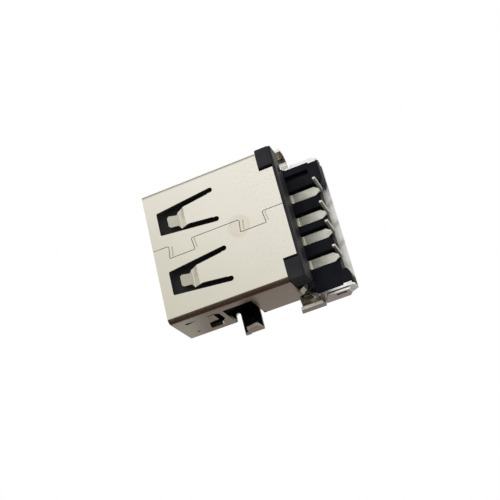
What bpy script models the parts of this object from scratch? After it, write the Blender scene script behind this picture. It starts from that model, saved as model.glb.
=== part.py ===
"""A board-mounted rectangular four-contact socket, modelled in Blender.

Lengths are in millimetres and become metres when a mesh is made. X runs across
the socket, the opening faces -Y, and +Z is up. The socket lies on its rear cover
with the seam face of the shell upwards. A station is a distance behind the front
rim, and a height is measured from the underside of the rear cover.
Run with: blender --background --python part.py
"""
import math

import bmesh
import bpy

MM = 0.001

# Fits
FIT = 0.05
SEAM_GAP = 0.06
SKIN = 0.006

# How far cutters reach past what they cut
PAST = 1.00
PAST_SHEET = 0.40

# Shell: one folded sheet
SHEET = 0.30
SHELL_WIDTH = 13.10
SHELL_HEIGHT = 5.72
SHELL_LENGTH = 12.81
BEND = 0.50
SEAM_OFFSET = 0.60
SEAM_TABS = ((1.60, 3.85), (8.60, 10.82))
SEAM_FLARE = 0.14
SEAM_BASE_CORNER = 0.16
SEAM_END_CORNER = 0.07
COIN_OFFSET = 0.30
COIN_INSET = 0.12
COIN_WIDTH = 0.06
COIN_DEPTH = 0.06
EAR_NOTCH_LENGTH = 1.29
EAR_NOTCH_INNER = 4.42
EAR_NOTCH_SLOPE_RISE = 1.80

# Spring fingers in the two wide faces
FINGER_CENTRE = 3.00
FINGER_WINDOW_FRONT = 1.07
FINGER_SLOT_END = 6.60
FINGER_SLOT_RADIUS = 0.25
FINGER_WINDOW_HALF = 1.15
FINGER_WINDOW_CORNER = 0.14
FINGER_SLOT_OFFSET = 1.50
FINGER_ROOT = 0.30
FINGER_EDGE = 0.05
FINGER_KNEE = 1.95
FINGER_KNEE_HALF = 0.93
FINGER_KNEE_SHARE = 0.05
FINGER_KNEE_BEND = 0.60
FINGER_CREST = 1.18
FINGER_CREST_HALF = 0.88
FINGER_CREST_BEND = 0.24
FINGER_NECK = 0.86
FINGER_NECK_HALF = 0.54
FINGER_TIP_STATION = 1.92
FINGER_TIP_HALF = 0.58
FINGER_TIP_SHARE = 0.25
FINGER_TIP_CORNER = 0.16
FINGER_DEPTH = 0.58
FAR_FINGER_DEPTH = 0.58
FINGER_CLEARANCE = 0.09

# Spring finger in each narrow wall
SIDE_WINDOW_FRONT = (2.40, 3.20)
SIDE_WINDOW_REAR = 4.25
SIDE_WINDOW_TOP = 1.42
SIDE_WINDOW_HEIGHT = 3.12
SIDE_WINDOW_CORNER = 0.15
SIDE_WINDOW_LOW_CUT = (0.65, 0.80)
SIDE_WINDOW_TOP_CUT = (0.35, 0.35)
SIDE_FINGER_ROOT = 0.35
SIDE_FINGER_START = 0.60
SIDE_FINGER_TOP = (0.25, 0.58)
SIDE_FINGER_HEIGHT = (1.45, 1.45)
SIDE_FINGER_TIP_GAP = 0.68
SIDE_FINGER_DEPTH = 0.17
SIDE_FINGER_BEND = 0.90
SLIT_STATIONS = (1.02, 1.30, 2.10)
SLIT_TOP = 1.42
SLIT_WIDTHS = (0.20, 0.34, 0.05)
DIMPLE_STATION = 1.26
DIMPLE_DROP = 4.15
DIMPLE_RADIUS = 0.16
DIMPLE_DEPTH = 0.15

# Solder legs folded out of the narrow walls
LEG_REACH = 8.00
LEG_RISE = 1.90
LEG_CUT = (4.66, 7.43)
LEG_CUT_TOP = 1.47
LEG_FLAP = (5.15, 7.00)
LEG_TIP_FOOT = 5.58
LEG_TIP_TOP = (5.80, 6.87)
LEG_TOP_FALL = 0.35
LEG_BEND = 0.46
LEG_RELIEF_INNER = 5.65
LEG_ROOT = 0.05
LEG_FLAP_SETBACK = 0.06
LEG_FLAP_OVERLAP = 0.08
FOOT_REACH = 8.08
FOOT_RISE = 1.90
FOOT_FLAP = (10.80, 13.15)
FOOT_TIP_FOOT = (10.95, 13.15)
FOOT_TIP_TOP = (11.15, 13.15)
FOOT_BEND = 1.10
FOOT_STEP = 0.12
LOCK_TAB_RISE = (1.42, 2.62)
LOCK_TAB_LENGTH = 0.70
LOCK_TAB_LEAN = 0.48
LOCK_TAB_ROOT = 0.40
LOCK_TAB_TAPER = 0.10

# Insulator: tongue, base, ears and lip
TONGUE_WIDTH = 11.10
TONGUE_THICKNESS = 1.84
TONGUE_FRONT = 0.40
BASE_FRONT = 10.60
GROOVE_FRONT = 2.20
GROOVE_WIDTH = 1.10
GROOVE_DEPTH = 0.35
EAR_WIDTH = 6.55
EAR_PROUD = 0.10
EAR_DROP = 1.90
EAR_INNER_GAP = 0.28
EAR_CORNER = 0.12
EAR_OVERRUN = 0.06
EAR_STEP = 0.02
EAR_CHAMFER = (0.25, 0.60)
LIP_THICKNESS = 0.22
LIP_HEIGHT = 0.80
LIP_WEB = 0.40
POCKET_ROOM = 0.10
POCKET_DEPTH = 0.20
POCKET_SETBACK = 0.45
BASE_STEP = 1.00
BASE_COVER = 0.20

# Contacts
CONTACT_PITCH = (-3.50, -1.00, 1.00, 3.50)
CONTACT_WIDTH = 0.90
CONTACT_THICKNESS = 0.25
CONTACT_FRONT = 2.60
CONTACT_TIP_TUCK = 0.10
CONTACT_TIP_RUN = 0.60
CONTACT_CREST = 4.30
CONTACT_CREST_RISE = 0.30
CONTACT_CREST_BEND = 0.40
CONTACT_CREST_RUN = 2.40
CONTACT_DROP_INSET = 0.385
CONTACT_BEND = 0.32
TAIL_DROP = 0.08
NECK_START = 0.65
NECK_END = 0.25
NECK_WIDTH = 0.36
PIN_STATION = 15.60
PIN_RISE = 2.55
PIN_BEND = 0.15
PIN_POINT = 0.22
PIN_TIP_WIDTH = 0.18

# Tail spacer behind the shell
SPACER_HEIGHT = 1.70
SPACER_HALF_WIDTH = 6.45
SPACER_REAR = 15.42
CHANNEL_WIDTH = 1.40
PAD_INNER = (4.30, 5.05)
PAD_TAIL = (3.85, 5.05)
PAD_TAIL_FRONT = 15.80
PAD_FRONT = 15.05
PAD_REAR = 16.05
PAD_RISE = 0.06
PAD_SLANT = 0.20
PAD_CHAMFER = 0.30
PAD_CHAMFER_RUN = 0.12
PAD_STEP = 0.15
WING_GROOVE = (5.25, 5.80)
WING_GROOVE_DEPTH = 0.50
WING_GROOVE_REAR = 14.90

# Rear cover: one folded thin sheet
COVER_SHEET = 0.20
COVER_DROP = 1.65
COVER_REAR = 16.07
LATCH_WALL_FOOT = (12.88, 15.18)
LATCH_WALL_TOP = (13.40, 15.57)
LATCH_WALL_CORNER = 0.80
LATCH_WALL_INSET = 0.25
LATCH_WINDOW = (14.14, 15.12)
LATCH_WINDOW_HEIGHT = (1.00, 1.50)
LATCH_WEDGE = (14.36, 14.86)
WEDGE_PROUD = 0.20
WEDGE_ROOT = 0.05
WEDGE_INSET = (0.15, 0.20)
WEDGE_OVERRUN = 0.10
ARM_GAP = 0.05
ARM_REAR = 16.07
ARM_REAR_FOOT = 15.45
ARM_REAR_CORNER = (0.72, 1.55)
ARM_REAR_CHAMFER = 0.20
ARM_TONGUE_RISE = 0.40
ARM_TONGUE_FRONT = 11.30
ARM_TONGUE_SETBACK = 0.50
ARM_TONGUE_START = 0.20
ARM_TONGUE_SLANT = 0.35
ARM_ROOM = 0.10
ARM_LUG_WIDTH = 0.35
LANCE_STATIONS = (13.30, 15.00)
LANCE_SKIN = 0.02

# Places that follow from the sizes above
FRONT = -max(PAD_REAR, COVER_REAR, ARM_REAR) / 2.0
HALF_WIDTH = SHELL_WIDTH / 2.0
LIFT = COVER_DROP
SHELL_TOP = LIFT + SHELL_HEIGHT
INNER_HALF = HALF_WIDTH - SHEET
FLOOR_TOP = LIFT + SHEET
CEILING = SHELL_TOP - SHEET
TONGUE_TOP = CEILING - FINGER_DEPTH - FINGER_CLEARANCE
TONGUE_LOW = TONGUE_TOP - TONGUE_THICKNESS
EAR_NOTCH_START = SHELL_LENGTH - EAR_NOTCH_LENGTH
DROP_STATION = SHELL_LENGTH - CONTACT_DROP_INSET
DROP_FRONT = DROP_STATION - CONTACT_THICKNESS / 2.0
FAR_REAR = DROP_FRONT - 2.0 * FIT
BASE_REAR = DROP_STATION + CONTACT_THICKNESS / 2.0 + BASE_COVER
EAR_FRONT = EAR_NOTCH_START + FIT
EAR_REAR = SHELL_LENGTH + FIT + EAR_OVERRUN
EAR_LOW = SHELL_TOP - EAR_DROP
LIP_REAR = SHELL_LENGTH + FIT + LIP_THICKNESS
SPACER_FRONT = FAR_REAR + FIT
SPACER_LOW = COVER_SHEET + FIT
SPACER_TOP = SPACER_LOW + SPACER_HEIGHT
TAIL_TOP = LIFT - TAIL_DROP
PIN_TOP = LIFT + PIN_RISE
CHANNEL_FLOOR = TAIL_TOP - CONTACT_THICKNESS - FIT
ARM_INNER = SPACER_HALF_WIDTH + FIT
ARM_OUTER = ARM_INNER + COVER_SHEET
ARM_TOP = SPACER_TOP - FIT
ARM_TONGUE_LOW = FLOOR_TOP + FIT
ARM_TONGUE_TOP = ARM_TONGUE_LOW + ARM_TONGUE_RISE
LATCH_WALL_INNER = ARM_OUTER + ARM_GAP
LATCH_WALL_OUTER = LATCH_WALL_INNER + COVER_SHEET
TONGUE_ARM_OUTER = INNER_HALF - FIT
LOCK_TAB_LOW = LIFT + LOCK_TAB_RISE[0]
LOCK_TAB_HIGH = LIFT + LOCK_TAB_RISE[1]
BEAM_LEVEL = TONGUE_LOW + CONTACT_THICKNESS / 2.0 + FIT
TAIL_LEVEL = TAIL_TOP - CONTACT_THICKNESS / 2.0
BENT_SHEET = SHEET - 2.0 * SKIN
SIDES = (-1, 1)


def at(station):
    """The Y place of a distance behind the front rim."""
    return FRONT + station


def material(name, colour, metallic, roughness):
    made = bpy.data.materials.new(name)
    made.use_nodes = True
    shader = made.node_tree.nodes["Principled BSDF"]
    shader.inputs["Base Color"].default_value = (*colour, 1.0)
    shader.inputs["Metallic"].default_value = metallic
    shader.inputs["Roughness"].default_value = roughness
    return made


def add_object(name, vertices, faces):
    mesh = bpy.data.meshes.new(name)
    mesh.from_pydata([[value * MM for value in vertex] for vertex in vertices], [], faces)
    built = bmesh.new()
    built.from_mesh(mesh)
    bmesh.ops.recalc_face_normals(built, faces=built.faces)
    built.to_mesh(mesh)
    built.free()
    made = bpy.data.objects.new(name, mesh)
    bpy.context.scene.collection.objects.link(made)
    return made


def place(axis, first, second, along):
    """A point from two in-plane values and one along the named axis."""
    if axis == "X":
        return (along, first, second)
    if axis == "Y":
        return (first, along, second)
    return (first, second, along)


def prism(name, outline, axis, low, high):
    """A closed outline pushed along an axis."""
    count = len(outline)
    vertices = [place(axis, a, b, low) for a, b in outline]
    vertices += [place(axis, a, b, high) for a, b in outline]
    faces = [list(range(count)), list(range(count, 2 * count))]
    for index in range(count):
        after = (index + 1) % count
        faces.append([index, after, count + after, count + index])
    return add_object(name, vertices, faces)


def box(name, x, y, z):
    outline = [(x[0], y[0]), (x[1], y[0]), (x[1], y[1]), (x[0], y[1])]
    return prism(name, outline, "Z", z[0], z[1])


def ribbon(name, stations, axis, thickness):
    """A bent strip: each station is (first, second, low, high) on its middle line."""
    sides = []
    for index, (first, second, low, high) in enumerate(stations):
        before = stations[max(index - 1, 0)]
        after = stations[min(index + 1, len(stations) - 1)]
        incoming = unit(first - before[0], second - before[1])
        outgoing = unit(after[0] - first, after[1] - second)
        if incoming is None:
            incoming = outgoing
        if outgoing is None:
            outgoing = incoming
        normal = unit(-incoming[1] - outgoing[1], incoming[0] + outgoing[0])
        lean = normal[0] * -incoming[1] + normal[1] * incoming[0]
        reach = thickness / 2.0 / lean
        near = (first + normal[0] * reach, second + normal[1] * reach)
        far = (first - normal[0] * reach, second - normal[1] * reach)
        sides.append((near, far, low, high))
    vertices = []
    for near, far, low, high in sides:
        vertices += [place(axis, *near, low), place(axis, *near, high)]
        vertices += [place(axis, *far, high), place(axis, *far, low)]
    faces = [[0, 1, 2, 3], [len(vertices) - 4 + corner for corner in range(4)]]
    for index in range(len(sides) - 1):
        start = 4 * index
        for corner in range(4):
            after = (corner + 1) % 4
            faces.append([start + corner, start + after, start + 4 + after, start + 4 + corner])
    return add_object(name, vertices, faces)


def unit(x, y):
    length = math.hypot(x, y)
    if length < 1e-9:
        return None
    return (x / length, y / length)


def rounded(points, radii, steps=5):
    """Stations with an arc in place of each corner that has a radius."""
    stations = [points[0]]
    for index in range(1, len(points) - 1):
        corner = points[index]
        radius = radii.get(index, 0.0)
        if radius <= 0.0:
            stations.append(corner)
            continue
        back = unit(points[index - 1][0] - corner[0], points[index - 1][1] - corner[1])
        ahead = unit(points[index + 1][0] - corner[0], points[index + 1][1] - corner[1])
        turn = math.acos(max(-1.0, min(1.0, back[0] * ahead[0] + back[1] * ahead[1])))
        inset = radius / math.tan(turn / 2.0)
        middle = unit(back[0] + ahead[0], back[1] + ahead[1])
        centre_distance = radius / math.sin(turn / 2.0)
        centre = (corner[0] + middle[0] * centre_distance, corner[1] + middle[1] * centre_distance)
        start = (corner[0] + back[0] * inset - centre[0], corner[1] + back[1] * inset - centre[1])
        end = (corner[0] + ahead[0] * inset - centre[0], corner[1] + ahead[1] * inset - centre[1])
        first_angle = math.atan2(start[1], start[0])
        sweep = math.atan2(end[1], end[0]) - first_angle
        sweep = (sweep + math.pi) % (2.0 * math.pi) - math.pi
        for step in range(steps + 1):
            angle = first_angle + sweep * step / steps
            spot = (centre[0] + radius * math.cos(angle), centre[1] + radius * math.sin(angle))
            stations.append((*spot, *corner[2:]))
    stations.append(points[-1])
    return stations


def arc(centre, radius, first_angle, last_angle, steps=6):
    """Points on an arc, angles in degrees."""
    points = []
    for step in range(steps + 1):
        angle = math.radians(first_angle + (last_angle - first_angle) * step / steps)
        points.append((centre[0] + radius * math.cos(angle), centre[1] + radius * math.sin(angle)))
    return points


def rounded_outline(corners, radius):
    """A closed outline with the same arc at each of its corners."""
    start = ((corners[-1][0] + corners[0][0]) / 2.0, (corners[-1][1] + corners[0][1]) / 2.0)
    radii = {index: radius for index in range(1, len(corners) + 1)}
    return rounded([start, *corners, start], radii, steps=4)[:-1]


def between(side, first, second):
    """Low and high X of two distances from the middle, on one side."""
    return (min(side * first, side * second), max(side * first, side * second))


def rounded_rectangle(half_width, low, high, radius):
    right = half_width - radius
    points = arc((right, low + radius), radius, -90, 0)
    points += arc((right, high - radius), radius, 0, 90)
    points += arc((-right, high - radius), radius, 90, 180)
    points += arc((-right, low + radius), radius, 180, 270)
    return points


def combine(target, tool, operation):
    modifier = target.modifiers.new(tool.name, "BOOLEAN")
    modifier.operation = operation
    modifier.object = tool
    modifier.solver = "EXACT"
    tool.hide_render = True
    tool.display_type = "WIRE"


def cut(target, tool):
    combine(target, tool, "DIFFERENCE")


def join(target, tool):
    combine(target, tool, "UNION")


def finish(target, finish_material):
    """Turns the modifier stack into the mesh and gives it its material."""
    graph = bpy.context.evaluated_depsgraph_get()
    mesh = bpy.data.meshes.new_from_object(target.evaluated_get(graph))
    tools = [modifier.object for modifier in target.modifiers]
    target.modifiers.clear()
    target.data = mesh
    for tool in tools:
        bpy.data.objects.remove(tool)
    mesh.materials.clear()
    mesh.materials.append(finish_material)
    mesh.shade_smooth()
    mesh.set_sharp_from_angle(angle=math.radians(25))


def finger_window(name, centre, low, high):
    """The opening round one spring finger: a wide front and two slots with round ends."""
    across = FINGER_SLOT_OFFSET
    end = FINGER_SLOT_END
    radius = FINGER_SLOT_RADIUS
    half = FINGER_WINDOW_HALF
    spread = math.degrees(math.atan2(across + radius - half, end - FINGER_WINDOW_FRONT))
    outline = rounded([
        (half / 2.0, FINGER_WINDOW_FRONT),
        (half, FINGER_WINDOW_FRONT),
        (across + radius, end),
    ], {1: FINGER_WINDOW_CORNER})[:-1]
    outline += arc((across, end), radius, -spread, 180)
    outline.append((across - radius, end - FINGER_ROOT))
    outline += [(-x, y) for x, y in reversed(outline)]
    return prism(name, [(centre + x, at(y)) for x, y in outline], "Z", low, high)


def finger(name, centre, outer_level, inward, depth):
    """One spring finger: flat at its root, bent in, with an upturned tip."""
    root_half = FINGER_SLOT_OFFSET - FINGER_SLOT_RADIUS - FINGER_EDGE
    tip = FINGER_TIP_STATION
    climb = (1.0 - FINGER_TIP_SHARE) / FINGER_CREST
    shape = [
        (FINGER_SLOT_END + FINGER_ROOT, 0.0, root_half),
        (FINGER_SLOT_END - FINGER_ROOT, 0.0, root_half),
        (tip + FINGER_KNEE, FINGER_KNEE_SHARE, FINGER_KNEE_HALF),
        (tip + FINGER_CREST, 1.0, FINGER_CREST_HALF),
        (tip + FINGER_NECK, FINGER_TIP_SHARE + climb * FINGER_NECK, FINGER_NECK_HALF),
        (tip + FINGER_TIP_CORNER, FINGER_TIP_SHARE + climb * FINGER_TIP_CORNER, FINGER_TIP_HALF),
        (tip, FINGER_TIP_SHARE, FINGER_TIP_HALF - FINGER_TIP_CORNER),
    ]
    middle = outer_level + inward * SHEET / 2.0
    points = []
    for station, share, half in shape:
        points.append((at(station), middle + inward * depth * share, centre - half, centre + half))
    return ribbon(name, rounded(points, {2: FINGER_KNEE_BEND, 3: FINGER_CREST_BEND}), "X", BENT_SHEET)


def make_seam(shell):
    """The joint line with two dovetail tabs, and a coined line behind each flank."""
    points = [(-SEAM_OFFSET, at(-PAST))]
    radii = {}
    for start, end in SEAM_TABS:
        first = len(points)
        radii.update({first: SEAM_BASE_CORNER, first + 1: SEAM_END_CORNER,
                      first + 2: SEAM_END_CORNER, first + 3: SEAM_BASE_CORNER})
        points += [(-SEAM_OFFSET, at(start)), (SEAM_OFFSET, at(start - SEAM_FLARE)),
                   (SEAM_OFFSET, at(end + SEAM_FLARE)), (-SEAM_OFFSET, at(end))]
    points.append((-SEAM_OFFSET, at(SHELL_LENGTH + PAST)))
    line = rounded(points, radii, steps=3)
    stations = [(x, y, CEILING - PAST_SHEET, SHELL_TOP + PAST_SHEET) for x, y in line]
    cut(shell, ribbon("seam_cut", stations, "Z", SEAM_GAP))
    reach = SEAM_OFFSET - COIN_INSET
    lean = SEAM_FLARE * COIN_INSET / SEAM_OFFSET / 2.0
    for start, end in SEAM_TABS:
        for station, flare in ((start, -SEAM_FLARE), (end, SEAM_FLARE)):
            near = at(station + COIN_OFFSET) + math.copysign(lean, flare)
            far = at(station + COIN_OFFSET + flare) - math.copysign(lean, flare)
            line = [(-reach, near, SHELL_TOP - COIN_DEPTH, SHELL_TOP + PAST_SHEET),
                    (reach, far, SHELL_TOP - COIN_DEPTH, SHELL_TOP + PAST_SHEET)]
            cut(shell, ribbon("coin_line", line, "Z", COIN_WIDTH))


def cut_side_wall(shell, side):
    """Openings in one narrow wall: leg cut-out, spring window, slit, dimple and ear notch."""
    across = between(side, INNER_HALF - PAST_SHEET, HALF_WIDTH + PAST)
    outside = side * (HALF_WIDTH + PAST)
    leg_top = SHELL_TOP - LEG_CUT_TOP
    leg = [(at(LEG_CUT[0]), FLOOR_TOP), (at(LEG_CUT[1]), FLOOR_TOP),
           (at(LEG_CUT[1]), leg_top), (at(LEG_CUT[0]), leg_top)]
    cut(shell, prism("leg_cut", leg, "X", *across))
    for low, high in ((LEG_CUT[0], LEG_FLAP[0]), (LEG_FLAP[1], LEG_CUT[1])):
        radius = (high - low) / 2.0
        middle = (side * (LEG_RELIEF_INNER + radius), at(low + radius))
        round_end = arc(middle, radius, 90, 90 + side * 180)
        outline = round_end + [(outside, round_end[-1][1]), (outside, round_end[0][1])]
        cut(shell, prism("relief_cut", outline, "Z", LIFT - PAST_SHEET, FLOOR_TOP + PAST_SHEET))
    window_top = SHELL_TOP - SIDE_WINDOW_TOP
    window_low = window_top - SIDE_WINDOW_HEIGHT
    low_front, top_front = SIDE_WINDOW_FRONT
    rear = SIDE_WINDOW_REAR
    low_cut, top_cut = SIDE_WINDOW_LOW_CUT, SIDE_WINDOW_TOP_CUT
    window = [(at(low_front), window_low), (at(rear - low_cut[0]), window_low),
              (at(rear), window_low + low_cut[1]), (at(rear), window_top - top_cut[1]),
              (at(rear - top_cut[0]), window_top), (at(top_front), window_top)]
    cut(shell, prism("side_window_cut", rounded_outline(window, SIDE_WINDOW_CORNER), "X", *across))
    slit_top = SHELL_TOP - SLIT_TOP
    slit = [(at(station), slit_top - width) for station, width in zip(SLIT_STATIONS, SLIT_WIDTHS)]
    slit += [(at(SLIT_STATIONS[-1]), slit_top), (at(SLIT_STATIONS[0]), slit_top)]
    cut(shell, prism("slit_cut", slit, "X", *across))
    dimple = arc((at(DIMPLE_STATION), SHELL_TOP - DIMPLE_DROP), DIMPLE_RADIUS, 0, 315, steps=7)
    deep = between(side, HALF_WIDTH - DIMPLE_DEPTH, HALF_WIDTH + PAST)
    cut(shell, prism("dimple_cut", dimple, "X", *deep))
    past_rear = at(SHELL_LENGTH + PAST)
    notch = [(at(EAR_NOTCH_START), SHELL_TOP + PAST), (at(EAR_NOTCH_START), LIFT + EAR_NOTCH_SLOPE_RISE),
             (at(FOOT_FLAP[0] + FOOT_STEP), FLOOR_TOP), (past_rear, FLOOR_TOP),
             (past_rear, SHELL_TOP + PAST)]
    cut(shell, prism("ear_notch_cut", notch, "X", *between(side, EAR_NOTCH_INNER, HALF_WIDTH + PAST)))


def add_side_finger(shell, side):
    """The short spring finger in the side window, bent in a little and down at its tip."""
    middle = HALF_WIDTH - SHEET / 2.0
    window_top = SHELL_TOP - SIDE_WINDOW_TOP
    front = SIDE_WINDOW_FRONT[0]
    shape = [(front - SIDE_FINGER_ROOT, 0.0, 0), (front + SIDE_FINGER_START, 0.0, 0),
             (SIDE_WINDOW_REAR - SIDE_FINGER_TIP_GAP, SIDE_FINGER_DEPTH, 1)]
    points = []
    for station, depth, end in shape:
        top = window_top - SIDE_FINGER_TOP[end]
        points.append((side * (middle - depth), at(station), top - SIDE_FINGER_HEIGHT[end], top))
    join(shell, ribbon("side_finger", rounded(points, {1: SIDE_FINGER_BEND}), "Z", BENT_SHEET))


def add_leg(shell, side):
    """The front solder leg: a flap level with the far face, then an upturned tip."""
    level = LIFT + SHEET / 2.0
    root = LEG_RELIEF_INNER - LEG_ROOT
    outer = LEG_REACH - BENT_SHEET / 2.0
    points = [
        (side * root, level, at(LEG_TIP_FOOT), at(LEG_FLAP[1])),
        (side * outer, level, at(LEG_TIP_FOOT), at(LEG_FLAP[1])),
        (side * outer, LIFT + LEG_RISE + SKIN, at(LEG_TIP_TOP[0]), at(LEG_TIP_TOP[1])),
    ]
    stations = rounded(points, {1: LEG_BEND - SHEET / 2.0})
    join(shell, ribbon("leg", stations, "Y", BENT_SHEET))
    top = LIFT + LEG_RISE
    slope = [(at(LEG_TIP_FOOT), top - LEG_TOP_FALL), (at(LEG_TIP_TOP[1]), top),
             (at(LEG_TIP_TOP[1]), top + PAST), (at(LEG_TIP_FOOT), top + PAST)]
    cut(shell, prism("leg_top_cut", slope, "X", *between(side, LEG_REACH - BEND, LEG_REACH + PAST)))
    join(shell, box("leg_flap", between(side, root, LEG_REACH - LEG_FLAP_SETBACK),
                    (at(LEG_FLAP[0]), at(LEG_TIP_FOOT + LEG_FLAP_OVERLAP)),
                    (LIFT + 2.0 * SKIN, FLOOR_TOP - 2.0 * SKIN)))


def add_foot(shell, side):
    """The rear solder leg: a wide flap that sweeps up in one large bend."""
    level = LIFT + SHEET / 2.0
    root = INNER_HALF - BEND
    outer = side * (FOOT_REACH - BENT_SHEET / 2.0)
    points = [
        (side * root, level, at(FOOT_FLAP[0]), at(FOOT_FLAP[1])),
        (outer, level, at(FOOT_TIP_FOOT[0]), at(FOOT_TIP_FOOT[1])),
        (outer, LIFT + FOOT_RISE, at(FOOT_TIP_TOP[0]), at(FOOT_TIP_TOP[1])),
    ]
    stations = rounded(points, {1: FOOT_BEND - SHEET / 2.0}, steps=8)
    join(shell, ribbon("foot", stations, "Y", BENT_SHEET))
    cut(shell, box("foot_clearance", between(side, root - PAST_SHEET, ARM_OUTER + FIT),
                   (at(FAR_REAR), at(FOOT_FLAP[1] + PAST)), (LIFT - PAST_SHEET, FLOOR_TOP + PAST_SHEET)))


def add_lock_tab(shell, side):
    """A tab at the rear edge of the wall, leaning in behind the insulator's shoulder."""
    middle = HALF_WIDTH - SHEET / 2.0
    low = LOCK_TAB_LOW
    high = LOCK_TAB_HIGH
    stations = [
        (side * middle, at(EAR_NOTCH_START - LOCK_TAB_ROOT), low, high),
        (side * middle, at(EAR_NOTCH_START), low, high),
        (side * (middle - LOCK_TAB_LEAN), at(EAR_NOTCH_START + LOCK_TAB_LENGTH),
         low + LOCK_TAB_TAPER, high - LOCK_TAB_TAPER),
    ]
    join(shell, ribbon("lock_tab", stations, "Z", BENT_SHEET))


def make_shell(nickel):
    outer = rounded_rectangle(HALF_WIDTH, LIFT, SHELL_TOP, BEND)
    inner = rounded_rectangle(INNER_HALF, FLOOR_TOP, CEILING, BEND - SHEET)
    shell = prism("shell", outer, "Y", at(0.0), at(SHELL_LENGTH))
    cut(shell, prism("bore", inner, "Y", at(-PAST), at(SHELL_LENGTH + PAST)))
    for centre in (-FINGER_CENTRE, FINGER_CENTRE):
        cut(shell, finger_window("seam_face_window", centre, CEILING - PAST_SHEET, SHELL_TOP + PAST_SHEET))
        cut(shell, finger_window("far_face_window", centre, LIFT - PAST_SHEET, FLOOR_TOP + PAST_SHEET))
    make_seam(shell)
    far_rear = box("far_face_rear_cut", (-HALF_WIDTH - PAST, HALF_WIDTH + PAST),
                   (at(FAR_REAR), at(SHELL_LENGTH + PAST)), (LIFT - PAST, LIFT + EAR_NOTCH_SLOPE_RISE))
    cut(shell, far_rear)
    for side in SIDES:
        cut_side_wall(shell, side)
    for centre in (-FINGER_CENTRE, FINGER_CENTRE):
        join(shell, finger("seam_face_finger", centre, SHELL_TOP, -1, FINGER_DEPTH))
        join(shell, finger("far_face_finger", centre, LIFT, 1, FAR_FINGER_DEPTH))
    for side in SIDES:
        add_side_finger(shell, side)
        add_leg(shell, side)
        add_foot(shell, side)
        add_lock_tab(shell, side)
    finish(shell, nickel)
    return shell


def contact_stations(centre, grow):
    """The middle line of one contact, wider by grow on each side."""
    half = CONTACT_WIDTH / 2.0 + grow
    neck = NECK_WIDTH / 2.0 + grow
    points = [
        (CONTACT_FRONT, BEAM_LEVEL + CONTACT_TIP_TUCK, half),
        (CONTACT_FRONT + CONTACT_TIP_RUN, BEAM_LEVEL, half),
        (CONTACT_CREST, BEAM_LEVEL - CONTACT_CREST_RISE, half),
        (CONTACT_CREST + CONTACT_CREST_RUN, BEAM_LEVEL, half),
        (DROP_STATION, BEAM_LEVEL, half),
        (DROP_STATION, TAIL_LEVEL, half),
        (PIN_STATION - NECK_START, TAIL_LEVEL, half),
        (PIN_STATION - NECK_END, TAIL_LEVEL, neck),
        (PIN_STATION, TAIL_LEVEL, neck),
        (PIN_STATION, PIN_TOP - PIN_POINT, neck),
        (PIN_STATION, PIN_TOP, PIN_TIP_WIDTH / 2.0 + grow),
    ]
    stations = [(at(y), z, centre - width, centre + width) for y, z, width in points]
    radii = {2: CONTACT_CREST_BEND, 4: CONTACT_BEND, 5: CONTACT_BEND, 8: PIN_BEND}
    return rounded(stations, radii, steps=4)


def make_contact(index, centre, plated):
    contact = ribbon("contact_%d" % index, contact_stations(centre, 0.0), "X", CONTACT_THICKNESS)
    finish(contact, plated)


def add_ear(insulator, side):
    """One ear that fills the shell's rear corner: a rounded head on a chamfered block."""
    across = between(side, EAR_NOTCH_INNER + EAR_INNER_GAP, EAR_WIDTH)
    front = at(EAR_FRONT)
    rear = at(EAR_REAR)
    shoulder = EAR_LOW + EAR_CHAMFER[1]
    head = [(across[0], front), (across[1], front), (across[1], rear), (across[0], rear)]
    top = SHELL_TOP + EAR_PROUD
    join(insulator, prism("ear_head", rounded_outline(head, EAR_CORNER), "Z", shoulder, top))
    step = SHELL_TOP - EAR_STEP
    block = [(front + EAR_CHAMFER[0], EAR_LOW), (at(LIP_REAR), EAR_LOW), (at(LIP_REAR), step),
             (front + EAR_CORNER, step), (front + EAR_CORNER, shoulder), (front, shoulder)]
    join(insulator, prism("ear_block", block, "X", *across))


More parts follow.
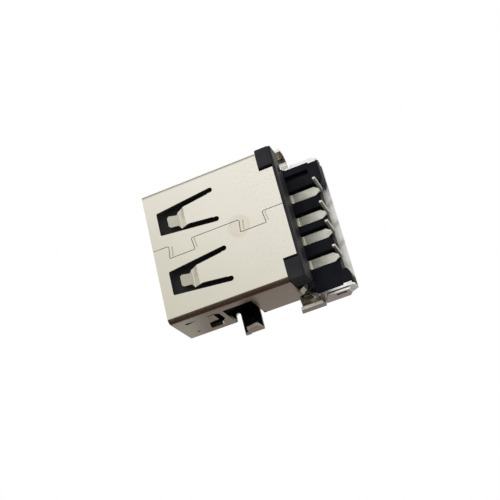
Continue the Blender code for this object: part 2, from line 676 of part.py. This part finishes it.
def make_insulator(black):
    """One moulding: tongue, base that plugs the shell, two ears and the rear lip."""
    base_half = INNER_HALF - FIT
    low = FLOOR_TOP + FIT
    high = CEILING - FIT
    step = SPACER_TOP + BASE_STEP
    profile = [(at(BASE_FRONT), low), (at(FAR_REAR), low), (at(FAR_REAR), step), (at(BASE_REAR), step),
               (at(BASE_REAR), high), (at(BASE_FRONT), high)]
    insulator = prism("insulator", profile, "X", -base_half, base_half)
    tongue = box("tongue", (-TONGUE_WIDTH / 2.0, TONGUE_WIDTH / 2.0),
                 (at(TONGUE_FRONT), at(BASE_FRONT + PAST_SHEET)), (TONGUE_LOW, TONGUE_TOP))
    join(insulator, tongue)
    join(insulator, box("lip", (-base_half, base_half), (at(SHELL_LENGTH + FIT), at(LIP_REAR)),
                        (SHELL_TOP - LIP_HEIGHT, SHELL_TOP)))
    join(insulator, box("lip_web", (-base_half, base_half), (at(BASE_REAR - LIP_WEB), at(LIP_REAR)),
                        (SHELL_TOP - LIP_HEIGHT, high)))
    for side in SIDES:
        add_ear(insulator, side)
        cut(insulator, box("lock_pocket", between(side, INNER_HALF - LOCK_TAB_LEAN - POCKET_DEPTH,
                                                  HALF_WIDTH + PAST),
                           (at(EAR_NOTCH_START - POCKET_SETBACK), at(BASE_REAR + PAST)),
                           (LOCK_TAB_LOW - POCKET_ROOM, LOCK_TAB_HIGH + POCKET_ROOM)))
        cut(insulator, box("arm_room", between(side, TONGUE_ARM_OUTER - COVER_SHEET - FIT, HALF_WIDTH + PAST),
                           (at(ARM_TONGUE_FRONT - ARM_ROOM), at(BASE_REAR + PAST)),
                           (low - PAST, ARM_TONGUE_TOP + FIT)))
    for centre in CONTACT_PITCH:
        groove = box("groove", (centre - GROOVE_WIDTH / 2.0, centre + GROOVE_WIDTH / 2.0),
                     (at(GROOVE_FRONT), at(BASE_FRONT)), (TONGUE_LOW - PAST, TONGUE_LOW + GROOVE_DEPTH))
        cut(insulator, groove)
        slot = ribbon("contact_slot", contact_stations(centre, FIT), "X", CONTACT_THICKNESS + 2.0 * FIT)
        cut(insulator, slot)
    finish(insulator, black)


def make_spacer(black):
    """The moulded block that holds the contact tails apart behind the shell."""
    outer = SPACER_HALF_WIDTH - PAD_STEP
    spacer = box("tail_spacer", (-SPACER_HALF_WIDTH, SPACER_HALF_WIDTH),
                 (at(SPACER_FRONT), at(SPACER_REAR)), (SPACER_LOW, SPACER_TOP))
    cut(spacer, box("wing_groove", (-WING_GROOVE[1], -WING_GROOVE[0]),
                    (at(SPACER_FRONT - PAST), at(WING_GROOVE_REAR)),
                    (SPACER_TOP - WING_GROOVE_DEPTH, SPACER_TOP + PAST)))
    for centre in CONTACT_PITCH:
        channel = box("channel", (centre - CHANNEL_WIDTH / 2.0, centre + CHANNEL_WIDTH / 2.0),
                      (at(SPACER_FRONT - PAST), at(SPACER_REAR + PAST)), (CHANNEL_FLOOR, SPACER_TOP + PAST))
        cut(spacer, channel)
    for side, inner, tail in zip(SIDES, PAD_INNER, PAD_TAIL):
        cut(spacer, box("pad_step", between(side, outer, SPACER_HALF_WIDTH + PAST),
                        (at(PAD_FRONT), at(PAD_REAR + PAST)), (SPACER_LOW - PAST, SPACER_TOP + PAST)))
        slant = tail + PAD_SLANT
        pad = [(inner, PAD_FRONT), (outer, PAD_FRONT), (outer, PAD_REAR), (slant + PAD_CHAMFER, PAD_REAR),
               (slant, PAD_REAR - PAD_CHAMFER_RUN), (tail, PAD_TAIL_FRONT)]
        if tail < inner:
            pad.append((inner, PAD_TAIL_FRONT))
        join(spacer, prism("pad", [(side * x, at(station)) for x, station in pad], "Z",
                           SPACER_LOW, SPACER_TOP + PAD_RISE))
    finish(spacer, black)


def add_latch_wall(cover, side):
    """The outer wall of the cover, with the window that the arm's wedge shows in."""
    top = SPACER_TOP - LATCH_WALL_INSET
    wall = [(at(LATCH_WALL_FOOT[0]), 0.0), (at(LATCH_WALL_FOOT[1]), 0.0),
            (at(LATCH_WALL_TOP[1]), LATCH_WALL_CORNER), (at(LATCH_WALL_TOP[1]), top),
            (at(LATCH_WALL_TOP[0]), top)]
    join(cover, prism("latch_wall", wall, "X", *between(side, LATCH_WALL_INNER, LATCH_WALL_OUTER)))
    cut(cover, box("latch_window", between(side, LATCH_WALL_INNER - LANCE_SKIN, LATCH_WALL_OUTER + PAST),
                   (at(LATCH_WINDOW[0]), at(LATCH_WINDOW[1])), LATCH_WINDOW_HEIGHT))


def add_arm(cover, side):
    """An arm lanced up inside the outer wall: wedge, crimped lug and tucked tongue."""
    start = FAR_REAR + 2.0 * FIT
    arm = [(at(start), 0.0), (at(ARM_REAR_FOOT), 0.0), (at(ARM_REAR), ARM_REAR_CORNER[0]),
           (at(ARM_REAR), ARM_REAR_CORNER[1]), (at(ARM_REAR - ARM_REAR_CHAMFER), ARM_TOP),
           (at(start + ARM_TONGUE_SETBACK), ARM_TOP), (at(start + ARM_TONGUE_START), ARM_TONGUE_TOP),
           (at(start), ARM_TONGUE_TOP)]
    join(cover, prism("arm", arm, "X", *between(side, ARM_INNER, ARM_OUTER)))
    middle = side * (ARM_INNER + COVER_SHEET / 2.0)
    tucked = side * (TONGUE_ARM_OUTER - COVER_SHEET / 2.0)
    points = [
        (middle, at(start + ARM_TONGUE_START), ARM_TONGUE_LOW, ARM_TONGUE_TOP),
        (middle, at(start), ARM_TONGUE_LOW, ARM_TONGUE_TOP),
        (tucked, at(start - ARM_TONGUE_SLANT), ARM_TONGUE_LOW, ARM_TONGUE_TOP),
        (tucked, at(ARM_TONGUE_FRONT), ARM_TONGUE_LOW, ARM_TONGUE_TOP),
    ]
    join(cover, ribbon("arm_tongue", points, "Z", COVER_SHEET))
    join(cover, box("crimped_lug", between(side, ARM_OUTER - ARM_LUG_WIDTH, ARM_OUTER),
                    (at(PAD_FRONT + FIT), at(ARM_REAR - ARM_REAR_CHAMFER)), (ARM_TOP - COVER_SHEET, ARM_TOP)))
    low, high = LATCH_WINDOW_HEIGHT
    wedge = [(side * (ARM_OUTER - WEDGE_ROOT), low + WEDGE_INSET[0]),
             (side * (ARM_OUTER + WEDGE_PROUD), low + WEDGE_INSET[1]),
             (side * (ARM_OUTER - WEDGE_ROOT), high + WEDGE_OVERRUN)]
    join(cover, prism("wedge", wedge, "Y", at(LATCH_WEDGE[0]), at(LATCH_WEDGE[1])))
    cut(cover, box("lance_opening", between(side, ARM_INNER - ARM_TOP, ARM_INNER - LANCE_SKIN),
                   (at(LANCE_STATIONS[0]), at(LANCE_STATIONS[1])), (-PAST, COVER_SHEET + LANCE_SKIN)))


def make_rear_cover(nickel):
    """The thin tray under the spacer, with a doubled wall on each side."""
    right = [(ARM_OUTER, at(FAR_REAR + FIT)), (ARM_OUTER, at(LATCH_WALL_FOOT[0])),
             (LATCH_WALL_OUTER, at(LATCH_WALL_FOOT[0])), (LATCH_WALL_OUTER, at(LATCH_WALL_FOOT[1])),
             (ARM_OUTER, at(ARM_REAR_FOOT)), (ARM_INNER, at(COVER_REAR))]
    outline = right + [(-x, y) for x, y in reversed(right)]
    cover = prism("rear_cover", outline, "Z", 0.0, COVER_SHEET)
    for side in SIDES:
        add_latch_wall(cover, side)
        add_arm(cover, side)
    finish(cover, nickel)


def clear_scene():
    for existing in list(bpy.data.objects):
        bpy.data.objects.remove(existing)


def main():
    clear_scene()
    nickel = material("nickel_plate", (0.78, 0.76, 0.71), 1.0, 0.32)
    plated = material("tin_plate", (0.72, 0.71, 0.64), 1.0, 0.35)
    black = material("black_moulding", (0.02, 0.02, 0.024), 0.0, 0.45)
    make_shell(nickel)
    make_rear_cover(nickel)
    make_insulator(black)
    make_spacer(black)
    for index, centre in enumerate(CONTACT_PITCH, start=1):
        make_contact(index, centre, plated)


main()
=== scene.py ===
"""Finishes, light and camera for a board-mounted four-contact socket.

Lengths are in millimetres and become metres where they are used. The seam face of
the shell looks up, the plug opening faces -Y, and the solder legs stand out to +X
and -X.
"""

import bpy
from mathutils import Matrix

MM = 0.001

# Camera
CAMERA_PLACE = (37.347, 19.593, 82.431)
CAMERA_RIGHT = (0.229259, 0.914086, -0.334497)
CAMERA_UP = (-0.882858, 0.339987, 0.323992)
CAMERA_BACK = (0.409881, 0.221035, 0.884953)
LENS = 69.551
SENSOR = 36.0
CLIP_START = 1.0

# Light
SKY_FOR_DIFFUSE = 0.55
KEY_PLACE = (-30.0, 20.0, 60.0)
KEY_SIZE = 60.0
KEY_POWER = 0.012
WHITE = (1.0, 1.0, 1.0)
ROOM_SHADE = (0.050, 0.026, 0.020)
LEFT_SHADE = (0.24, 0.22, 0.19)
LEFT_TABLE = (0.62, 0.60, 0.50)
REAR_SHADE = (0.46, 0.45, 0.39)
TABLE_SHADE = (0.262, 0.228, 0.222)
TABLE_GLEAM = (0.42, 0.40, 0.39)

REAR_FADE = (0.14, 0.46)
LEFT_FADE = (-0.58, -0.88)
ROOM_FADE = (0.03, 0.24)
ROOM_MIDDLE = -0.24
ROOM_HALF = (0.36, 0.54)
ROOM_TURN = 0.227
ROOM_SPREAD = 0.30
ROOM_EDGE = (11.5, 15.0)

# Floor
FLOOR_SIZE = 4000.0
FLOOR_SHADE = (0.85, 0.85, 0.85)
FLOOR_FAR = (10.0, 14.0)
SHADE_CENTRE = (-0.4, -0.6)
SHADE_HALF = (5.4, 7.4)
SHADE_BLUR = 0.5
TABLE_START = (6.0, 7.0)
TABLE_END = (9.8, 11.6)
LEFT_START = (-6.5, -8.0)
GLEAM_PLACE = (-6.5, -9.0)

# Places on the shell
SEAM_FACE = 7.37
FACE_DEPTH = (0.2, 0.05)
FRONT_RIM = -8.035
# Painted shade: a box inside the shell, less the side fingers, a thin dark margin in the side slit, and
# the tops of the leg flaps
INSIDE_HALF = 6.27
INSIDE_LOW = 1.93
INSIDE_TOP = 6.70
FINGER_HALF = 5.90
FINGER_REAR = -3.62
SLIT_SPAN = (-7.03, -5.92)
SLIT_TOP = 5.97
SLIT_DEEPEST = 0.39
SLIT_FALL = 0.3625
SLIT_END = 0.08
SLIT_BLUR = 0.03
FLAP_PLACE = (7.0, -1.7, 2.2)
FLAP_HALF = (0.74, 1.3, 0.3)
COIN_STATIONS = (1.90, 4.15, 8.90, 11.12)
COIN_SLOPES = (-0.117, 0.117, -0.117, 0.117)
COIN_HALF = 0.50
COIN_WIDTH = (0.075, 0.02)
COIN_BLUR = 0.1
TARNISH_CENTRE = (0.0, 0.43)
TARNISH_RADIUS = 0.95
TARNISH_WAVE = 0.9
STAIN_EDGE = (0.35, 0.3)
RING_WIDTH = 0.26
REAR_GRAIN = (-3.0, 5.0)
FADE_LEAN = (1.4, 1.7)
FADE_CLOUD = 3.0
FADE_SPAN = (-30.0, 24.0)

# Places on the rear cover
# Painted shade in the latch window and on the arm behind it
LATCH_HOLE_PLACE = (6.59, 1.25)
LATCH_HOLE_HALF = (0.60, 0.27)
LATCH_HOLE_SIDE = 6.76
STRIP_START = 7.36
# Painted reflections of the spacer's ribs: dark bands across the rear strip
STRIP_BANDS = (-2.1, 0.12, 2.15)
BAND_LEAN = 0.6
BAND_WIDTH = (0.40, 0.05)

# Blur at the edges of marks, in mm
EDGE_BLUR = 0.01
STEP_BLUR = 0.02
INSIDE_BLUR = 0.05

# Parts of a noise that show
CLOUD_SPAN = (0.3, 0.7)
SPECKLE_CUT = (0.42, 0.68)
RING_GAPS = (0.35, 0.65)
DUST_CUT = (0.66, 0.78)

# Colours
SHELL_DARK = (0.60, 0.57, 0.465)
SHELL_LIGHT = (0.92, 0.89, 0.80)
SPECKLE_COLOUR = (0.60, 0.57, 0.50)
TARNISH_COLOUR = (0.60, 0.47, 0.33)
COIN_COLOUR = (0.30, 0.28, 0.22)
# Painted shade inside the shell, in the side slit and on the tops of the leg flaps
INSIDE_SHADE_COLOUR = (0.02, 0.02, 0.02)
COVER_DARK = (0.86, 0.85, 0.82)
COVER_LIGHT = (0.95, 0.945, 0.92)
# Painted sheen: a near-white colour that brightens the rear strip
STRIP_SHEEN_COLOUR = (1.0, 0.98, 0.94)
# Painted reflection of the spacer's ribs on the rear strip
RIB_REFLECTION_COLOUR = (0.44, 0.44, 0.40)
# Painted shade in the latch window
HOLE_SHADE_COLOUR = (0.03, 0.03, 0.03)
PLATE_DARK = (0.74, 0.735, 0.635)
PLATE_LIGHT = (0.90, 0.89, 0.785)
INSULATOR_DARK = (0.018, 0.018, 0.021)
INSULATOR_LIGHT = (0.028, 0.028, 0.032)
INSULATOR_GLOSS = 0.22
SPACER_DARK = (0.007, 0.0075, 0.011)
SPACER_LIGHT = (0.013, 0.014, 0.019)
SPACER_GLOSS = 0.12
DUST_COLOUR = (0.07, 0.07, 0.075)

# How strongly each mark shows
SPECKLE_SHARE = (0.20, 0.42)
STAIN_SHARE = 0.22
RING_SHARE = 0.30
COIN_SHARE = 0.45
INSIDE_SHADE_SHARE = 0.96
HOLE_SHADE_SHARE = 0.85
RIB_REFLECTION_SHARE = 0.50
DUST_SHARE = 0.5

# Depth of the grain in mm, how the shell's is mixed, and how much of it shows below the seam face
STEEL_GRAIN = 0.0025
PLATE_GRAIN = 0.004
PLASTIC_GRAIN = 0.004
GRAIN_MIX = (0.6, 0.4)
SMOOTH_PART = 0.08

# Roughness: the base, then what each mark adds
SHELL_ROUGHNESS = (0.20, 0.08, 0.03)
COVER_ROUGHNESS = (0.22, 0.08, 0.10)
PLATE_ROUGHNESS = (0.34, 0.12)
PLASTIC_ROUGHNESS = (0.42, 0.14)
STRIP_DULL = 0.4

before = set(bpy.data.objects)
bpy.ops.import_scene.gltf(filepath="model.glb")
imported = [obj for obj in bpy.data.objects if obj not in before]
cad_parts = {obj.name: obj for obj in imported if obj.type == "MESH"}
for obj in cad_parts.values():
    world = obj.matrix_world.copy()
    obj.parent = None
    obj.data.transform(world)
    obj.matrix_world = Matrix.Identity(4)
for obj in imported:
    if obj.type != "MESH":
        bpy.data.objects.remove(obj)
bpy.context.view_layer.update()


class Value:
    """A number that changes over a surface; arithmetic on it adds Math nodes."""

    def __init__(self, finish, socket):
        self.finish = finish
        self.socket = socket

    def math(self, operation, *others):
        values = dict(enumerate((self, *others)))
        return self.finish.node("ShaderNodeMath", {"operation": operation}, values)

    def __add__(self, other):
        return self.math("ADD", other)

    def __sub__(self, other):
        return self.math("SUBTRACT", other)

    def __rsub__(self, other):
        return self.finish.node("ShaderNodeMath", {"operation": "SUBTRACT"}, {0: other, 1: self})

    def __mul__(self, other):
        return self.math("MULTIPLY", other)

    def __truediv__(self, other):
        return self.math("DIVIDE", other)

    __radd__ = __add__

    def size(self):
        return self.math("ABSOLUTE")

    def top(self, other):
        return self.math("MAXIMUM", other)

    def low(self, other):
        return self.math("MINIMUM", other)

    def root(self):
        return self.math("SQRT")

    def rise(self, start, end):
        """0 at start, 1 at end, smooth between; start may be above end."""
        if start > end:
            return 1 - self.rise(end, start)
        return self.finish.node("ShaderNodeMapRange", {"interpolation_type": "SMOOTHSTEP"},
                                {"Value": self, "From Min": start, "From Max": end})


class Finish:
    """A shader tree in the making: of a material or of the world."""

    def __init__(self, owner):
        owner.use_nodes = True
        self.owner = owner
        self.tree = owner.node_tree
        self.tree.nodes.clear()

    def node(self, kind, settings=None, values=None, output=0):
        """Adds a node: settings first, then sockets by name or number; returns one output."""
        made = self.tree.nodes.new(kind)
        for name, setting in (settings or {}).items():
            setattr(made, name, setting)
        for name, value in (values or {}).items():
            socket = made.inputs[name]
            if isinstance(value, Value):
                self.tree.links.new(value.socket, socket)
            elif isinstance(value, tuple) and len(value) == 3 and socket.type == "RGBA":
                socket.default_value = (*value, 1.0)
            else:
                socket.default_value = value
        return Value(self, made.outputs[output])

    def place(self):
        return self.node("ShaderNodeTexCoord", output="Object")

    def parts(self, vector):
        split = self.tree.nodes.new("ShaderNodeSeparateXYZ")
        self.tree.links.new(vector.socket, split.inputs[0])
        return [Value(self, output) for output in split.outputs]

    def noise(self, grain, detail=2.0, roughness=0.5, stretch=(1.0, 1.0, 1.0)):
        """Cloudy value about 0.5; grain is the size of a blotch in mm."""
        scaled = self.node("ShaderNodeMapping", {}, {"Vector": self.place(), "Scale": stretch})
        return self.node("ShaderNodeTexNoise", {}, {
            "Vector": scaled, "Scale": 1.0 / (grain * MM), "Detail": detail, "Roughness": roughness})

    def blend(self, share, first, second):
        """Between two colours by a share."""
        made = self.tree.nodes.new("ShaderNodeMix")
        made.data_type = "RGBA"
        for socket, value in ((made.inputs[0], share), (made.inputs[6], first), (made.inputs[7], second)):
            if isinstance(value, Value):
                self.tree.links.new(value.socket, socket)
            elif isinstance(value, tuple):
                socket.default_value = (*value, 1.0)
            else:
                socket.default_value = value
        return Value(self, made.outputs[2])

    def bump(self, height, depth):
        """A normal from a height, where 1 stands depth mm proud."""
        return self.node("ShaderNodeBump", {}, {"Height": height, "Distance": depth * MM, "Strength": 1.0})

    def shader(self, **values):
        named = {name.replace("_", " "): value for name, value in values.items()}
        return self.node("ShaderNodeBsdfPrincipled", {}, named)

    def surface(self, shader):
        kind = "World" if isinstance(self.owner, bpy.types.World) else "Material"
        end = self.tree.nodes.new("ShaderNodeOutput" + kind)
        self.tree.links.new(shader.socket, end.inputs["Surface"])
        return self.owner


def new_finish(name):
    return Finish(bpy.data.materials.new(name))


def give(name, material):
    """Puts one material in every slot of a node."""
    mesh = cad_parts[name].data
    for index in range(len(mesh.materials)):
        mesh.materials[index] = material


def flat_distance(finish, x, y, centre):
    """Distance in mm from a point, seen from above."""
    across = x / MM - centre[0]
    along = y / MM - centre[1]
    return (across * across + along * along).root()


def within(value, centre, half):
    """1 where a place in metres lies inside a span given in mm."""
    return (value / MM - centre).size().rise(half, half - EDGE_BLUR)


def shell_finish():
    f = new_finish("shell_nickel")
    x, y, z = f.parts(f.place())
    cloud = f.noise(3.5, 3.0).rise(*CLOUD_SPAN)
    speckle = f.noise(0.09, 2.0, 0.6)
    scratch = f.noise(0.35, 2.0, 0.5, (1.0, 0.12, 1.0))
    fade = (y / MM * FADE_LEAN[0] - x / MM * FADE_LEAN[1] + (cloud - 0.5) * FADE_CLOUD).rise(*FADE_SPAN)
    colour = f.blend(fade, SHELL_DARK, SHELL_LIGHT)
    rear = (y / MM).rise(*REAR_GRAIN)
    share = SPECKLE_SHARE[0] + rear * SPECKLE_SHARE[1]
    colour = f.blend(speckle.rise(*SPECKLE_CUT) * share, colour, SPECKLE_COLOUR)
    wave = f.noise(0.9, 2.0)
    distance = flat_distance(f, x, y, TARNISH_CENTRE) + (wave - 0.5) * TARNISH_WAVE
    face = (z / MM).rise(SEAM_FACE - FACE_DEPTH[0], SEAM_FACE - FACE_DEPTH[1])
    stain = distance.rise(TARNISH_RADIUS + STAIN_EDGE[0], TARNISH_RADIUS - STAIN_EDGE[1])
    ring = (distance - TARNISH_RADIUS).size().rise(RING_WIDTH, 0.0) * wave.rise(*RING_GAPS)
    colour = f.blend((stain * STAIN_SHARE + ring * RING_SHARE) * face, colour, TARNISH_COLOUR)
    for station, slope in zip(COIN_STATIONS, COIN_SLOPES):
        off_line = (y / MM - x / MM * slope - (FRONT_RIM + station)).size()
        line = off_line.rise(*COIN_WIDTH) * (x / MM).size().rise(COIN_HALF, COIN_HALF - COIN_BLUR) * face
        colour = f.blend(line * COIN_SHARE, colour, COIN_COLOUR)
    # Painted shade: the inside of the shell, a thin margin in the side slit and the tops of the leg flaps
    # are darkened to near black
    inside_shade = within(x, 0.0, INSIDE_HALF) * (z / MM).rise(INSIDE_LOW - EDGE_BLUR, INSIDE_LOW) \
        * (z / MM).rise(INSIDE_TOP, INSIDE_TOP - INSIDE_BLUR)
    behind = (y / MM).rise(FINGER_REAR, FINGER_REAR + STEP_BLUR)
    inside_shade = inside_shade * within(x, 0.0, FINGER_HALF).top(behind)
    flap_shade = within(x.size(), FLAP_PLACE[0], FLAP_HALF[0]) \
        * within(y, FLAP_PLACE[1], FLAP_HALF[1]) * within(z, FLAP_PLACE[2], FLAP_HALF[2])
    start, end = SLIT_SPAN
    depth = ((end - y / MM) * SLIT_FALL + SLIT_END).low(SLIT_DEEPEST)
    below = SLIT_TOP - z / MM
    slit_shade = (y / MM).rise(start, start + SLIT_BLUR) * (y / MM).rise(end, end - SLIT_BLUR) \
        * below.rise(0.0, SLIT_BLUR) * (depth - below).rise(0.0, SLIT_BLUR)
    colour = f.blend(inside_shade.top(slit_shade).top(flap_shade) * INSIDE_SHADE_SHARE, colour, INSIDE_SHADE_COLOUR)
    height = (speckle * GRAIN_MIX[0] + scratch * GRAIN_MIX[1]) * (SMOOTH_PART + face * (1.0 - SMOOTH_PART))
    base, by_speckle, by_cloud = SHELL_ROUGHNESS
    shader = f.shader(Base_Color=colour, Metallic=1.0,
                      Roughness=base + speckle * by_speckle + cloud * by_cloud,
                      Normal=f.bump(height, STEEL_GRAIN))
    return f.surface(shader)


def cover_finish():
    f = new_finish("cover_nickel")
    x, y, z = f.parts(f.place())
    cloud = f.noise(2.2, 3.0).rise(*CLOUD_SPAN)
    speckle = f.noise(0.08, 2.0, 0.6)
    colour = f.blend(cloud, COVER_DARK, COVER_LIGHT)
    on_strip = (y / MM).rise(STRIP_START, STRIP_START + STEP_BLUR)
    # Painted sheen: the rear strip is given a near-white colour so that it looks brighter
    colour = f.blend(on_strip, colour, STRIP_SHEEN_COLOUR)
    # Painted reflection: dark bands where the spacer's ribs would mirror in the strip
    for place in STRIP_BANDS:
        rib_reflection = (x / MM - place + (y / MM - STRIP_START) * BAND_LEAN).size().rise(*BAND_WIDTH)
        colour = f.blend(rib_reflection * on_strip * RIB_REFLECTION_SHARE, colour, RIB_REFLECTION_COLOUR)
    # Painted shade: the latch window and the arm face behind it are darkened
    hole_shade = within(y, LATCH_HOLE_PLACE[0], LATCH_HOLE_HALF[0]) \
        * within(z, LATCH_HOLE_PLACE[1], LATCH_HOLE_HALF[1]) * within(x, 0.0, LATCH_HOLE_SIDE)
    colour = f.blend(hole_shade * HOLE_SHADE_SHARE, colour, HOLE_SHADE_COLOUR)
    base, by_speckle, by_strip = COVER_ROUGHNESS
    shader = f.shader(Base_Color=colour, Metallic=1 - on_strip * STRIP_DULL,
                      Roughness=base + speckle * by_speckle + on_strip * by_strip,
                      Normal=f.bump(speckle, STEEL_GRAIN))
    return f.surface(shader)


def contact_finish():
    f = new_finish("contact_plate")
    cloud = f.noise(0.8, 3.0).rise(*CLOUD_SPAN)
    grain = f.noise(0.10, 2.0, 0.6, (1.0, 0.25, 1.0))
    colour = f.blend(cloud, PLATE_DARK, PLATE_LIGHT)
    base, by_grain = PLATE_ROUGHNESS
    shader = f.shader(Base_Color=colour, Metallic=1.0, Roughness=base + grain * by_grain,
                      Normal=f.bump(grain, PLATE_GRAIN))
    return f.surface(shader)


def moulded_finish(name, dark, light, gloss):
    f = new_finish(name)
    cloud = f.noise(1.6, 3.0).rise(*CLOUD_SPAN)
    grain = f.noise(0.07, 2.0, 0.6)
    dust = f.noise(0.16, 3.0, 0.7).rise(*DUST_CUT)
    colour = f.blend(cloud, dark, light)
    colour = f.blend(dust * DUST_SHARE, colour, DUST_COLOUR)
    base, by_grain = PLASTIC_ROUGHNESS
    shader = f.shader(Base_Color=colour, Metallic=0.0, Roughness=base + grain * by_grain,
                      Specular_IOR_Level=gloss, Normal=f.bump(grain, PLASTIC_GRAIN))
    return f.surface(shader)


def floor_finish():
    """White from above, except right under the socket, where its own shade shows.

    Metal sees a toned table on both sides, with a dim room beyond it on the +X side. From
    below the floor can't be seen.
    """
    f = new_finish("floor_white")
    x, y, _ = f.parts(f.place())
    across = ((x / MM - SHADE_CENTRE[0]).size() - SHADE_HALF[0]).rise(-SHADE_BLUR, 0.0)
    along = ((y / MM - SHADE_CENTRE[1]).size() - SHADE_HALF[1]).rise(-SHADE_BLUR, 0.0)
    lit = across.top(along)
    camera = f.node("ShaderNodeLightPath", output="Is Camera Ray")
    glossy = f.node("ShaderNodeLightPath", output="Is Glossy Ray")
    clear = f.node("ShaderNodeLightPath", output="Is Transmission Ray")
    far = flat_distance(f, x, y, (0.0, 0.0)).rise(*FLOOR_FAR)
    right = (x / MM).rise(*TABLE_START)
    left = (x / MM).rise(*LEFT_START)
    seen = (camera * lit).top(glossy.top(clear) * far.top(right).top(left))
    near = f.blend((y / MM).rise(*GLEAM_PLACE), TABLE_SHADE, TABLE_GLEAM)
    table = f.blend((x / MM).rise(*TABLE_END), near, ROOM_SHADE)
    colour = f.blend(left * glossy * (1 - far), WHITE, LEFT_TABLE)
    off_line = (y / MM + x / MM * ROOM_TURN).size() - x / MM * ROOM_SPREAD
    colour = f.blend(right * glossy * off_line.rise(ROOM_EDGE[1], ROOM_EDGE[0]), colour, table)
    plain = f.node("ShaderNodeBsdfDiffuse", {}, {"Color": FLOOR_SHADE})
    white = f.node("ShaderNodeEmission", {}, {"Color": colour, "Strength": 1.0})
    top = f.node("ShaderNodeMixShader", {}, {0: seen, 1: plain, 2: white})
    back = f.node("ShaderNodeNewGeometry", output="Backfacing")
    nothing = f.node("ShaderNodeBsdfTransparent")
    return f.surface(f.node("ShaderNodeMixShader", {}, {0: back, 1: top, 2: nothing}))


def make_floor():
    half = FLOOR_SIZE * MM / 2.0
    mesh = bpy.data.meshes.new("floor")
    mesh.from_pydata([(-half, -half, 0.0), (half, -half, 0.0), (half, half, 0.0), (-half, half, 0.0)],
                     [], [(0, 1, 2, 3)])
    floor = bpy.data.objects.new("floor", mesh)
    bpy.context.scene.collection.objects.link(floor)
    mesh.materials.append(floor_finish())


def make_world():
    """White to the camera; metal sees a pale sky, greyer behind and to the left, and a dim room to +X."""
    world = bpy.data.worlds.new("studio")
    bpy.context.scene.world = world
    f = Finish(world)
    x, y, _ = f.parts(f.node("ShaderNodeTexCoord", output="Generated"))
    camera = f.node("ShaderNodeLightPath", output="Is Camera Ray")
    diffuse = f.node("ShaderNodeLightPath", output="Is Diffuse Ray")
    studio = f.blend(y.rise(*REAR_FADE), WHITE, REAR_SHADE)
    studio = f.blend(x.rise(*LEFT_FADE), studio, LEFT_SHADE)
    room = x.rise(*ROOM_FADE) * (y - ROOM_MIDDLE).size().rise(ROOM_HALF[1], ROOM_HALF[0])
    studio = f.blend(room, studio, ROOM_SHADE)
    studio = f.blend(diffuse, studio, (SKY_FOR_DIFFUSE, SKY_FOR_DIFFUSE, SKY_FOR_DIFFUSE))
    seen = f.blend(camera, studio, WHITE)
    f.surface(f.node("ShaderNodeBackground", {}, {"Color": seen, "Strength": 1.0}))


def make_key():
    """One soft lamp above the far left corner; metal doesn't mirror it."""
    lamp = bpy.data.lights.new("key", "AREA")
    lamp.size = KEY_SIZE * MM
    lamp.energy = KEY_POWER
    key = bpy.data.objects.new("key", lamp)
    bpy.context.scene.collection.objects.link(key)
    place = Matrix.Translation([value * MM for value in KEY_PLACE])
    aim = place.translation.to_track_quat("Z", "Y").to_matrix().to_4x4()
    key.matrix_world = place @ aim
    key.visible_glossy = False


def make_camera():
    data = bpy.data.cameras.new("camera")
    data.sensor_width = SENSOR
    data.lens = LENS
    data.clip_start = CLIP_START * MM
    camera = bpy.data.objects.new("camera", data)
    bpy.context.scene.collection.objects.link(camera)
    turn = Matrix((CAMERA_RIGHT, CAMERA_UP, CAMERA_BACK)).transposed().to_4x4()
    camera.matrix_world = Matrix.Translation([value * MM for value in CAMERA_PLACE]) @ turn
    bpy.context.scene.camera = camera


make_camera()
make_world()
make_key()
make_floor()
give("shell", shell_finish())
give("rear_cover", cover_finish())
give("insulator", moulded_finish("insulator_black", INSULATOR_DARK, INSULATOR_LIGHT, INSULATOR_GLOSS))
give("tail_spacer", moulded_finish("spacer_black", SPACER_DARK, SPACER_LIGHT, SPACER_GLOSS))
plate = contact_finish()
for number in range(1, 5):
    give("contact_%d" % number, plate)
bpy.context.scene.view_settings.view_transform = "Standard"
